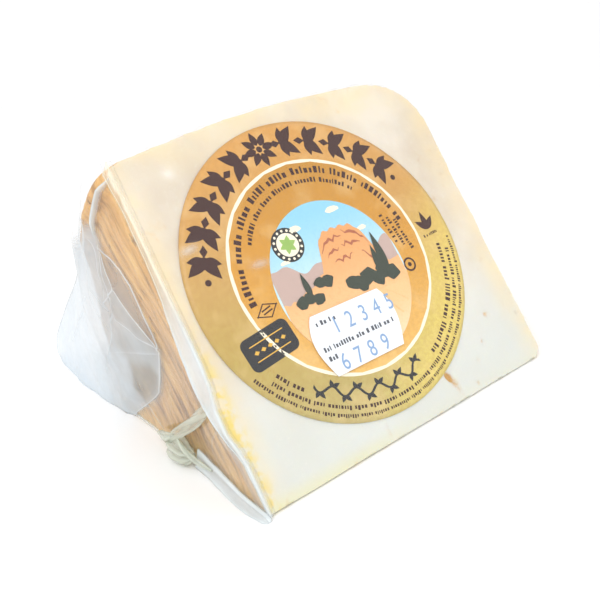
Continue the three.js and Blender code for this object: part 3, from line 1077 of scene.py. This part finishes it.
# Each fold: its line, how high its ridge stands, and how white its crest is painted as a highlight
FOLDS = [
    (FOLD_UPPER, 0.25, 0.8), (FOLD_MIDDLE, 0.2, 0.95), (FOLD_LOWER, 0.15, 0.9), (FOLD_LEVEL, 0.10, 0.3),
    (FOLD_OUTER, 0.22, 0.9), (FOLD_INNER, 0.25, 0.9), (FLAP_EDGE, 0.12, 0.9), (TUCK_HIGH, 0.25, 0.6),
    (TUCK_LOW, 0.2, 0.8), (STRAP_SHORT, 0.30, 0.3),
] + [(crease, 0.3, 0.95) for crease in CREASES]
EAR_AREA = FLAP_EDGE + [(72.0, -4.0), (152.0, -4.0), (152.0, 16.0), (100.0, 46.0), (86.0, 56.0),
                        (66.0, 66.0), (54.0, 62.0)]
EAR_AREA += FOLD_UPPER[:-1]
EAR_RIM = [(144.0, -3.0), (143.5, 3.0), (137.0, 10.0), (128.0, 16.4), (118.0, 23.0), (108.0, 29.0),
           (98.0, 35.0), (88.0, 42.5), (81.0, 50.0), (72.5, 59.0), (63.0, 66.0), (53.0, 73.0), (43.2, 74.8)]
CREASED_AREA = [(51.0, 53.0), (54.0, 62.0), (60.0, 60.0), (64.0, 50.0), (71.0, 40.0), (64.0, 29.0),
                (52.0, 34.0), (47.0, 44.0)]
CLEAR_AREA = FOLD_UPPER + FOLD_MIDDLE[-2::-1]
GREY_AREA = FOLD_MIDDLE + FOLD_LOWER[-2::-1]
FLAP_AREA = FLAP_EDGE[:-2] + [(62.0, 12.0), (64.0, 26.0), (54.0, 34.0), (46.0, 33.0), (40.4, 31.6)]
BROWN_AREA = [(55.0, 22.0), (44.0, 24.6), (42.6, 21.4), (44.6, 18.2), (50.6, 13.6), (58.0, 9.8),
              (59.0, 14.0)]
WHITE_AREA = [(56.2, 24.0), (60.8, 14.8), (64.0, 7.0), (71.3, 2.0), (90.0, 0.0), (92.0, 8.0), (84.5, 17.5),
              (68.0, 24.0)]
# The areas of the ear, each with the softness of its border, its milk and its painted shade
EAR_TONES = [
    (FLAP_AREA, 5.0, 0.78, 0.34), (WHITE_AREA, 6.0, 0.90, 0.10), (CREASED_AREA, 4.0, 0.70, 0.06),
    (BROWN_AREA, 4.0, 0.52, 0.60), (GREY_AREA, 1.2, 0.64, 0.26), (CLEAR_AREA, 0.8, 0.30, 0.06),
]
EAR_FLOOR_STAND = [(38.0, 1.2), (70.0, 1.8), (90.0, 3.0), (108.0, 3.8), (124.0, 2.8), (146.0, 0.8)]


def bezier(start, control, end, steps):
    return [((1 - t) ** 2 * start[0] + 2 * (1 - t) * t * control[0] + t * t * end[0],
             (1 - t) ** 2 * start[1] + 2 * (1 - t) * t * control[1] + t * t * end[1])
            for t in (i / steps for i in range(1, steps + 1))]


def loose_outline():
    """The loose film's edge: along the floor to the ear's tip, back over the ear, and down the cut."""
    top = (RIM_RADIUS - CROWN_X ** 2 / (2 * CROWN_RADIUS)) / MM + 1
    outline = [(0.4 + 1.18 * i, 0.0) for i in range(121)]
    outline += bezier(outline[-1], (146, 2), (137, 10), 14)
    outline += bezier((137, 10), (118, 23), (98, 35), 40)
    outline += bezier((98, 35), (86, 42), (81, 50), 20)
    outline += bezier((81, 50), (73, 60), (63, 66), 22)
    outline += bezier((63, 66), (53, 74), (top * COS, top * SIN), 26)
    down = [top + (0.4 - top) * i / 88 for i in range(1, 89)]
    return outline + [(r * COS, r * SIN) for r in down]


def refined(line, step):
    points = [line[0]]
    for (x0, y0), (x1, y1) in zip(line, line[1:]):
        count = max(1, round(math.hypot(x1 - x0, y1 - y0) / step))
        points += [(x0 + (x1 - x0) * i / count, y0 + (y1 - y0) * i / count) for i in range(1, count + 1)]
    return points


def beside(line, shift):
    """The same line moved sideways."""
    moved = []
    for i, point in enumerate(line):
        a, b = Vector(line[max(0, i - 1)]), Vector(line[min(len(line) - 1, i + 1)])
        run = (b - a).normalized()
        moved.append((point[0] - run.y * shift, point[1] + run.x * shift))
    return moved


def film_swell(places):
    """How far the loose film follows the swollen face, in millimetres: it lets go of it past the rim."""
    return swell(places[:, 0], places[:, 1]) * smoothstep(93.0, 86.0, np.hypot(places[:, 0], places[:, 1]))


def loose_stand(places):
    """How far the loose film stands off the sector face, in millimetres."""
    y, z = places[:, 0], places[:, 1]
    within = depth_inside(places, EAR_AREA)
    ear = 0.15 * smoothstep(-0.3, 0.4, within) + 0.85 * smoothstep(0.0, 6.0, within)
    near_floor = np.exp(-np.maximum(z, 0) / 10.0)
    ear_stand = table(EAR_FLOOR_STAND, y) * near_floor + 1.9 * (1 - near_floor)
    ear_stand *= 1 - 0.5 * smoothstep(84, 146, np.hypot(y, z)) * (1 - near_floor)
    ear_stand *= 1 - 0.55 * smoothstep(44, 64, z)
    pleats = waves(plane(y, z * 0.28), 55, 17.0, 8)
    narrow = smoothstep(0.0, 11.0, line_distance(places, EAR_RIM))
    stand = 0.45 + ear * narrow * (ear_stand + 0.28 * pleats)
    for line, height, _ in FOLDS:
        stand += height * np.exp(-((line_distance(places, line) / 0.42) ** 2)) * (0.3 + 0.7 * narrow)
    stand += 0.05 * narrow * waves(plane(y, z), 56, 8)
    return stand


def loose_looks(places):
    """How milky the loose film is at each place, with its fold crests painted white as highlights, and how
    much painted shade greys it, both 0 to 1.
    """
    y, z = places[:, 0], places[:, 1]

    def within(area, soft_out, soft_in):
        return smoothstep(-soft_out, soft_in, depth_inside(places, area))

    streaks = waves(plane(y, z * 0.2), 57, 9)
    radius = np.hypot(y, z)
    ear = within(EAR_AREA, 0.1, 0.3)
    milk = 0.03 + ear * (0.66 + 0.05 * streaks)
    shade = ear * 0.04
    for area, soft, value, grey in EAR_TONES:
        share = within(area, soft / 2 + 0.2, soft / 2)
        milk = milk * (1 - share) + share * (value + 0.04 * streaks)
        shade = shade * (1 - share) + share * grey
    over_rim = smoothstep(80.5, 82.5, radius) * smoothstep(52.0, 58.0, z)
    milk *= 1 - over_rim * (0.95 - 0.5 * smoothstep(89.0, 93.0, radius))
    # Painted highlights: the fold crests are painted milky white
    for line, _, shine in FOLDS:
        on_line = np.exp(-((line_distance(places, line) / 0.24) ** 2))
        milk = np.maximum(milk, shine * on_line)
        shade *= 1 - on_line
    return np.clip(milk, 0, 1), np.clip(shade, 0, 1)


def make_loose(material):
    """The loose film of the left side, one closed bag: its front stands off the face, its back lies on
    it."""
    outline = loose_outline()
    spacing, wide, high = 0.95, 148, 78
    fold_margin, grid_margin, least_gap = 0.25, 0.45, 0.42
    # The net that is filled with triangles: the outline, each fold as three lines, and an even grid between
    places, edges = list(outline), [(i, (i + 1) % len(outline)) for i in range(len(outline))]
    fixed = [np.array(outline)]
    for line, _, _ in FOLDS:
        for shift in (-0.3, 0.0, 0.3):
            fine = np.array(refined(beside(line, shift), 0.8))
            keep = depth_inside(fine, outline) > fold_margin
            previous = None
            for index, point in enumerate(fine):
                if not keep[index]:
                    previous = None
                    continue
                places.append(tuple(point))
                if previous is not None:
                    edges.append((previous, len(places) - 1))
                previous = len(places) - 1
            fixed.append(fine[keep])
    taken = np.concatenate(fixed)
    columns, rows = int(wide / spacing), int(high / (spacing * 0.866))
    grid = np.array([((c + 0.5 * (r % 2)) * spacing, r * spacing * 0.866)
                     for r in range(rows) for c in range(columns)])
    grid = grid[depth_inside(grid, outline) > grid_margin]
    tree = KDTree(len(taken))
    for index, point in enumerate(taken):
        tree.insert((point[0], point[1], 0), index)
    tree.balance()
    places += [tuple(p) for p in grid if tree.find((p[0], p[1], 0))[2] > least_gap]
    flat, _, faces, *_ = delaunay_2d_cdt([Vector(p) for p in places], edges, [], 1, 0.02)
    flat = np.array([(p[0], p[1]) for p in flat])
    stand = loose_stand(flat)
    rim = smoothstep(1.2, 0.0, np.abs(depth_inside(flat, outline)))
    back = 0.28 + 0.05 * waves(plane(flat[:, 0], flat[:, 1]), 58, 9)
    front = back + 0.12 + (stand - 0.4) * (1 - 0.85 * rim * (flat[:, 1] > 2))
    y, z = flat[:, 0], np.maximum(flat[:, 1], 0.06)
    swollen = film_swell(flat)
    front_points = np.stack([-front - swollen, y, z], axis=1)
    back_points = np.stack([-back - swollen, y, z], axis=1)
    points = np.concatenate([front_points, back_points]) * MM + np.array(WEDGE_ORIGIN)
    count = len(flat)
    used = {}
    for face in faces:
        for a, b in zip(face, face[1:] + face[:1]):
            used[(a, b)] = used.get((a, b), 0) + 1
    border = [(a, b) for (a, b) in used if (b, a) not in used]
    all_faces = [tuple(face) for face in faces]
    all_faces += [tuple(i + count for i in reversed(face)) for face in faces]
    all_faces += [(b, a, a + count, b + count) for a, b in border]
    mesh = closed_mesh("film_loose", points, all_faces)
    milk, shade = loose_looks(flat)
    beyond = smoothstep(85, 92, np.hypot(flat[:, 0], flat[:, 1]))
    set_attribute(mesh, "milk", np.concatenate([milk, 0.02 + milk * 0.3 * beyond]))
    # Painted shade on the front sheet only
    set_attribute(mesh, "shade", np.concatenate([shade, 0 * shade]))
    dressed("film_loose", mesh, material)


def sweep(name, stations, milk, material):
    """A closed skin through a row of outlines, each with the same number of points."""
    around, rows = len(stations[0]), len(stations)
    points = [tuple(p) for loop in stations for p in loop]
    faces = []
    for row in range(rows - 1):
        for k in range(around):
            m = (k + 1) % around
            a, b = row * around, (row + 1) * around
            faces.append((a + k, a + m, b + m, b + k))
    faces.append(tuple(reversed(range(around))))
    faces.append(tuple(range((rows - 1) * around, rows * around)))
    mesh = closed_mesh(name, points, faces)
    set_attribute(mesh, "milk", np.array(milk, float).ravel())
    return dressed(name, mesh, material)


# The fold along the cut edge: how far it reaches out to the left, by the place up the cut face
FIN_REACH = [(0, 0.5), (6, 0.5), (12.5, 0.6), (15, 1.1), (17.5, 1.9), (22, 2.8), (28, 3.7), (32, 3.9),
             (37, 3.3), (43, 2.9), (48, 2.5), (55, 1.7), (62, 1.5), (68, 1.5), (73, 1.4), (80, 1.9),
             (84, 1.9), (86.5, 1.0)]
# Its milk round its cross-section, painted white as highlights along its crest and its edge: from the cut
# face, over its crest, out to its edge and back under
FIN_MILK_AND_SHINE = [0.03, 0.10, 0.50, 1.0, 0.72, 0.66, 0.68, 0.85, 1.0, 0.9, 0.35, 0.15, 0.08, 0.05, 0.05, 0.03,
            0.03, 0.03, 0.03]


def fin_section(reach, crest):
    """The fold's cross-section: its place across the cut edge, and its height above the cut face."""
    return [
        (1.4, 0.10), (0.8, 0.34), (0.2, 0.42 + (crest - 0.42) * 0.6), (-0.3, crest), (-0.7, crest * 0.75),
        (-0.2 - 0.45 * reach, 0.30), (-0.75 * reach, 0.22), (-0.92 * reach, 0.34), (-reach, 0.50),
        (-reach - 0.1, 0.30), (-0.92 * reach, -0.2), (-0.7 * reach, -1.2), (-0.45 * reach - 0.2, -2.4),
        (-0.55, -3.5), (-0.34, -4.3), (-0.30, -3.0), (-0.30, -0.9), (-0.1, 0.0), (0.9, 0.0)]


def make_fin(material):
    """The film's fold along the cut edge, standing off to the left."""
    ups = np.arange(0.6, 86.4, 0.6)
    slow = waves(plane(ups, 0 * ups), 71, 11)
    quick = waves(plane(ups, 0 * ups), 72, 3.5)
    stations, milk, warm = [], [], []
    for up, bend, ripple in zip(ups, slow, quick):
        reach = table(FIN_REACH, up) * (1 + 0.05 * bend) + 0.03 * ripple
        reach = max(reach, swell(up * COS, up * SIN) + 0.45)
        crest = 0.66 + 0.10 * bend + 0.03 * ripple
        end = min(1.0, (86.6 - up) / 3, (up + 0.8) / 3)
        bulge = table(EDGE_BULGE, up)
        loop = [on_face((a - bulge) * MM * (end if a < 0 else 1), up * MM, (0.3 + (out - 0.3) * end) * MM)
                for a, out in fin_section(max(reach - bulge, 0.5), crest)]
        for point in loop:
            point.z = max(point.z, 0.06 * MM)
        stations.append(loop)
        clearer = 1 - 0.35 * smoothstep(44, 62, up)
        milk.append([m * (0.92 + 0.10 * bend) * (1 if m > 0.95 else clearer) for m in FIN_MILK_AND_SHINE])
        warm.append([0.75 * smoothstep(40, 62, up)] * len(FIN_MILK_AND_SHINE))
    fin = sweep("film_fin", stations, milk, material)
    set_attribute(fin.data, "warm", np.array(warm, float).ravel())


RIM_FOLD_RADIUS = [(45.0, 78.4), (46.6, 79.0), (51.0, 80.2), (56.0, 81.0), (61.0, 82.6)]


def make_rim_fold(material):
    """The film's ridge along the sector face's round edge, from the top corner down to the ear."""
    turns = np.radians(np.arange(60.4, 45.4, -0.4))
    slow = waves(plane(turns * 60, 0 * turns), 73, 9)
    stations, milk = [], []
    for index, (turn, bend) in enumerate(zip(turns, slow)):
        end = min(1.0, (index + 1) / 5, (len(turns) - index) / 10)
        stand = (0.8 + 0.10 * bend) * end + 0.1
        section = [(-0.3, -0.9), (-0.45, -0.6), (-0.4 - 0.5 * stand, -0.3), (-stand - 0.2, 0.0),
                   (-stand - 0.1, 0.2), (-0.4 * stand, 0.3), (0.0, 0.3), (0.1, 0.2), (0.0, 0.1),
                   (-0.3, 0.0), (-0.3, -0.5)]
        # Milk round the section, with a painted highlight along its crest
        section_milk_and_shine = [0.05, 0.35, 0.6, 1.0, 0.9, 0.5, 0.2, 0.05, 0.05, 0.03, 0.03]
        loop = []
        for x, r in section:
            radius = table(RIM_FOLD_RADIUS, math.degrees(turn)) + r * (0.4 + 0.6 * end)
            y, z = radius * math.cos(turn), radius * math.sin(turn)
            loop.append(WEDGE_ORIGIN + Vector((x - swell(y, z), y, z)) * MM)
        stations.append(loop)
        milk.append([m * (0.9 + 0.12 * bend) for m in section_milk_and_shine])
    sweep("film_rim_fold", stations, milk, material)


def tube(name, path, radii, material, milk=0.6, flat=0.6, pleats=5, seed=0, step=0.5, sides=20):
    """A gathered strand of film: a tube with lengthwise pleats, whose ends close to a point."""
    line = [Vector(p) for p in path]
    spans = [0.0]
    for a, b in zip(line, line[1:]):
        spans.append(spans[-1] + (b - a).length)
    total = spans[-1]
    count = max(6, int(total / step))
    at = [total * i / count for i in range(count + 1)]
    coords = np.array([tuple(p) for p in line])
    xs = [np.interp(at, spans, coords[:, k]) for k in range(3)]
    centre = np.stack(xs, axis=1)
    for _ in range(6):
        centre[1:-1] = (centre[:-2] + 2 * centre[1:-1] + centre[2:]) / 4
    size = np.interp(at, spans, radii)
    draw = np.random.default_rng(seed)
    phase, twist = draw.uniform(0, 6.28), draw.uniform(0.15, 0.35)
    stations, section_milk_and_shine = [], []
    for i, point in enumerate(centre):
        run = Vector(centre[min(i + 1, count)] - centre[max(i - 1, 0)]).normalized()
        side = run.cross(Vector((1, 0, 0))).normalized()
        out = side.cross(run).normalized()
        loop, shine = [], []
        for k in range(sides):
            turn = 2 * math.pi * k / sides
            fold = math.cos(pleats * turn + phase + twist * at[i])
            r = size[i] * (1 + 0.20 * fold)
            offset = side * (r * math.cos(turn)) + out * (r * flat * math.sin(turn))
            place = Vector(point) + offset
            place.z = max(place.z, 0.06)
            loop.append(WEDGE_ORIGIN + place * MM)
            # Painted highlights: the pleats' crests are painted milkier than their troughs
            shine.append(milk * (0.7 + 0.3 * fold))
        stations.append(loop)
        section_milk_and_shine.append(shine)
    sweep(name, stations, section_milk_and_shine, material)


# The knot and the strands that run into it: name, path and radii in millimetres, then milk, flatness,
# pleats and seed, and for the knot its step and sides
STRANDS = [
    ("film_knot",
     [(-1.6, 42.4, 2.4), (-2.4, 40.0, 3.2), (-2.8, 36.8, 3.8), (-2.6, 33.2, 3.6), (-1.8, 30.4, 4.0)],
     [0.8, 2.6, 3.2, 2.6, 0.7], 0.80, 0.8, 7, 5, 0.35, 48),
    ("film_strand_rear",
     [(-1.8, 52.0, 2.4), (-2.4, 47.0, 3.8), (-3.4, 42.5, 5.2), (-3.8, 39.0, 6.8), (-3.2, 36.6, 8.0)],
     [0.3, 1.2, 1.5, 1.3, 0.6], 0.85, 0.6, 4, 6),
    ("film_strand_high",
     [(-3.6, 40.0, 5.4), (-3.6, 36.0, 8.0), (-2.6, 30.0, 12.0), (-1.8, 24.0, 16.2), (-1.3, 18.4, 20.2),
      (-1.1, 15.4, 22.2)],
     [0.7, 1.3, 1.4, 1.5, 1.3, 0.5], 0.62, 0.35, 3, 7),
    ("film_strand_front",
     [(-3.4, 34.2, 8.4), (-3.4, 32.0, 6.2), (-2.8, 29.6, 4.2), (-2.0, 26.4, 3.2), (-1.4, 22.6, 2.9)],
     [0.4, 0.9, 0.9, 0.7, 0.3], 0.95, 0.6, 2, 8),
]


def make_knot(material):
    """Where the loose film is gathered near the floor: a pleated lump with strands that run into it."""
    for name, path, radii, *shape in STRANDS:
        tube(name, path, radii, material, *shape)


# The flange along the floor: how far it reaches out and how high it stands, by the place towards the rim
FOOT_REACH = [(-0.6, 1.6), (0.5, 2.4), (4, 3.0), (9.4, 3.2), (16, 2.8), (24, 2.0), (31, 1.8)]
FOOT_HEIGHT = [(-0.6, 0.9), (7, 0.9), (12, 1.3), (16.5, 2.4), (22, 3.5), (28, 4.8), (31, 5.2)]


def make_foot(material):
    """The film's flange along the floor, from the knot to the thin edge's corner."""
    ys = np.arange(-0.6, 31.5, 0.5)
    draw = waves(plane(ys, 0 * ys), 74, 6)
    stations, milk = [], []
    for y, slow in zip(ys, draw):
        end = min(1.0, (y + 1.1) / 2, (32.0 - y) / 2)
        s = table(FOOT_REACH, y) * (1 + 0.04 * slow)
        h = table(FOOT_HEIGHT, y) * (1 + 0.05 * slow) * end
        section = [(-0.3, h + 0.5), (-0.7, h + 0.3), (-1.0, h * 0.92), (-1.15, h * 0.72),
                   (-0.5 * s - 0.6, h * 0.46), (-0.93 * s, 0.1 + 0.26 * h), (-s, 0.08 + 0.12 * h),
                   (-0.96 * s, 0.06), (-0.5 * s, 0.06), (-0.4, 0.06), (-0.3, 0.5 * h)]
        # Milk round the section, with painted highlights along its upper ridge and its outer edge
        section_milk_and_shine = [0.5, 1.0, 1.0, 0.55, 0.72, 0.95, 0.85, 0.4, 0.1, 0.1, 0.05]
        stations.append([WEDGE_ORIGIN + Vector((x, y, z)) * MM for x, z in section])
        milk.append([m * (0.94 + 0.06 * slow) for m in section_milk_and_shine])
    sweep("film_foot", stations, milk, material)


def make_film():
    skin = film_material("film_skin", (244, 246, 244), 0.3, 0.5, 0.14)
    loose = film_material("film_loose", (226, 237, 246), 0.12, 0.3)
    folded = film_material("film_folded", (224, 232, 235), 0.15, 0.1)
    gathered = film_material("film_gathered", (216, 222, 208), 0.2, 0.2)
    make_skin(skin)
    make_loose(loose)
    make_fin(folded)
    make_rim_fold(folded)
    make_knot(gathered)
    make_foot(folded)


# The studio

DAYLIGHT = 1.06
FLOOR_HALF = 30.0
KEY_PLACE, KEY_TARGET = (-0.30, -0.35, 0.55), (0, 0, 0.03)
KEY_SIZE, KEY_POWER = (0.30, 0.30), 1.3


def add_camera():
    data = bpy.data.cameras.new("camera")
    data.lens = CAMERA_LENS
    data.sensor_width = 36
    data.clip_start = 0.005
    camera = new_object("camera", data)
    turn = Matrix.Rotation(-CAMERA_AZIMUTH, 4, "Z")
    tilt = Matrix.Rotation(math.pi / 2 - CAMERA_DOWN, 4, "X")
    roll = Matrix.Rotation(CAMERA_ROLL, 4, "Z")
    camera.matrix_world = Matrix.Translation(WEDGE_ORIGIN + CAMERA_PLACE) @ turn @ tilt @ roll
    bpy.context.scene.camera = camera


def add_area(name, place, target, size, power):
    data = bpy.data.lights.new(name, "AREA")
    data.shape = "RECTANGLE"
    data.size, data.size_y = size
    data.energy = power
    light = new_object(name, data)
    light.location = place
    light.rotation_euler = (Vector(target) - Vector(place)).to_track_quat("-Z", "Y").to_euler()


def add_stage():
    mesh = bpy.data.meshes.new("floor")
    corners = [(x * FLOOR_HALF, y * FLOOR_HALF, 0) for x, y in ((-1, -1), (1, -1), (1, 1), (-1, 1))]
    mesh.from_pydata(corners, [], [(0, 1, 2, 3)])
    floor = new_object("floor", mesh)
    s = Shader("floor")
    shader = s.node("ShaderNodeBsdfPrincipled", {"Base Color": (0.95, 0.95, 0.95, 1), "Roughness": 0.9})
    mesh.materials.append(s.finish(shader))
    world = bpy.data.worlds.new("studio")
    world.use_nodes = True
    background = world.node_tree.nodes["Background"].inputs
    background["Color"].default_value = (1, 1, 1, 1)
    background["Strength"].default_value = DAYLIGHT
    bpy.context.scene.world = world
    bpy.context.scene.view_settings.view_transform = "Standard"
    bpy.context.scene.cycles.transparent_max_bounces = 24
    bpy.context.scene.cycles.diffuse_bounces = 6
    add_area("key", KEY_PLACE, KEY_TARGET, KEY_SIZE, KEY_POWER)


add_camera()
add_stage()
make_cheese()
make_label()
make_print()
make_sticker()
make_film()
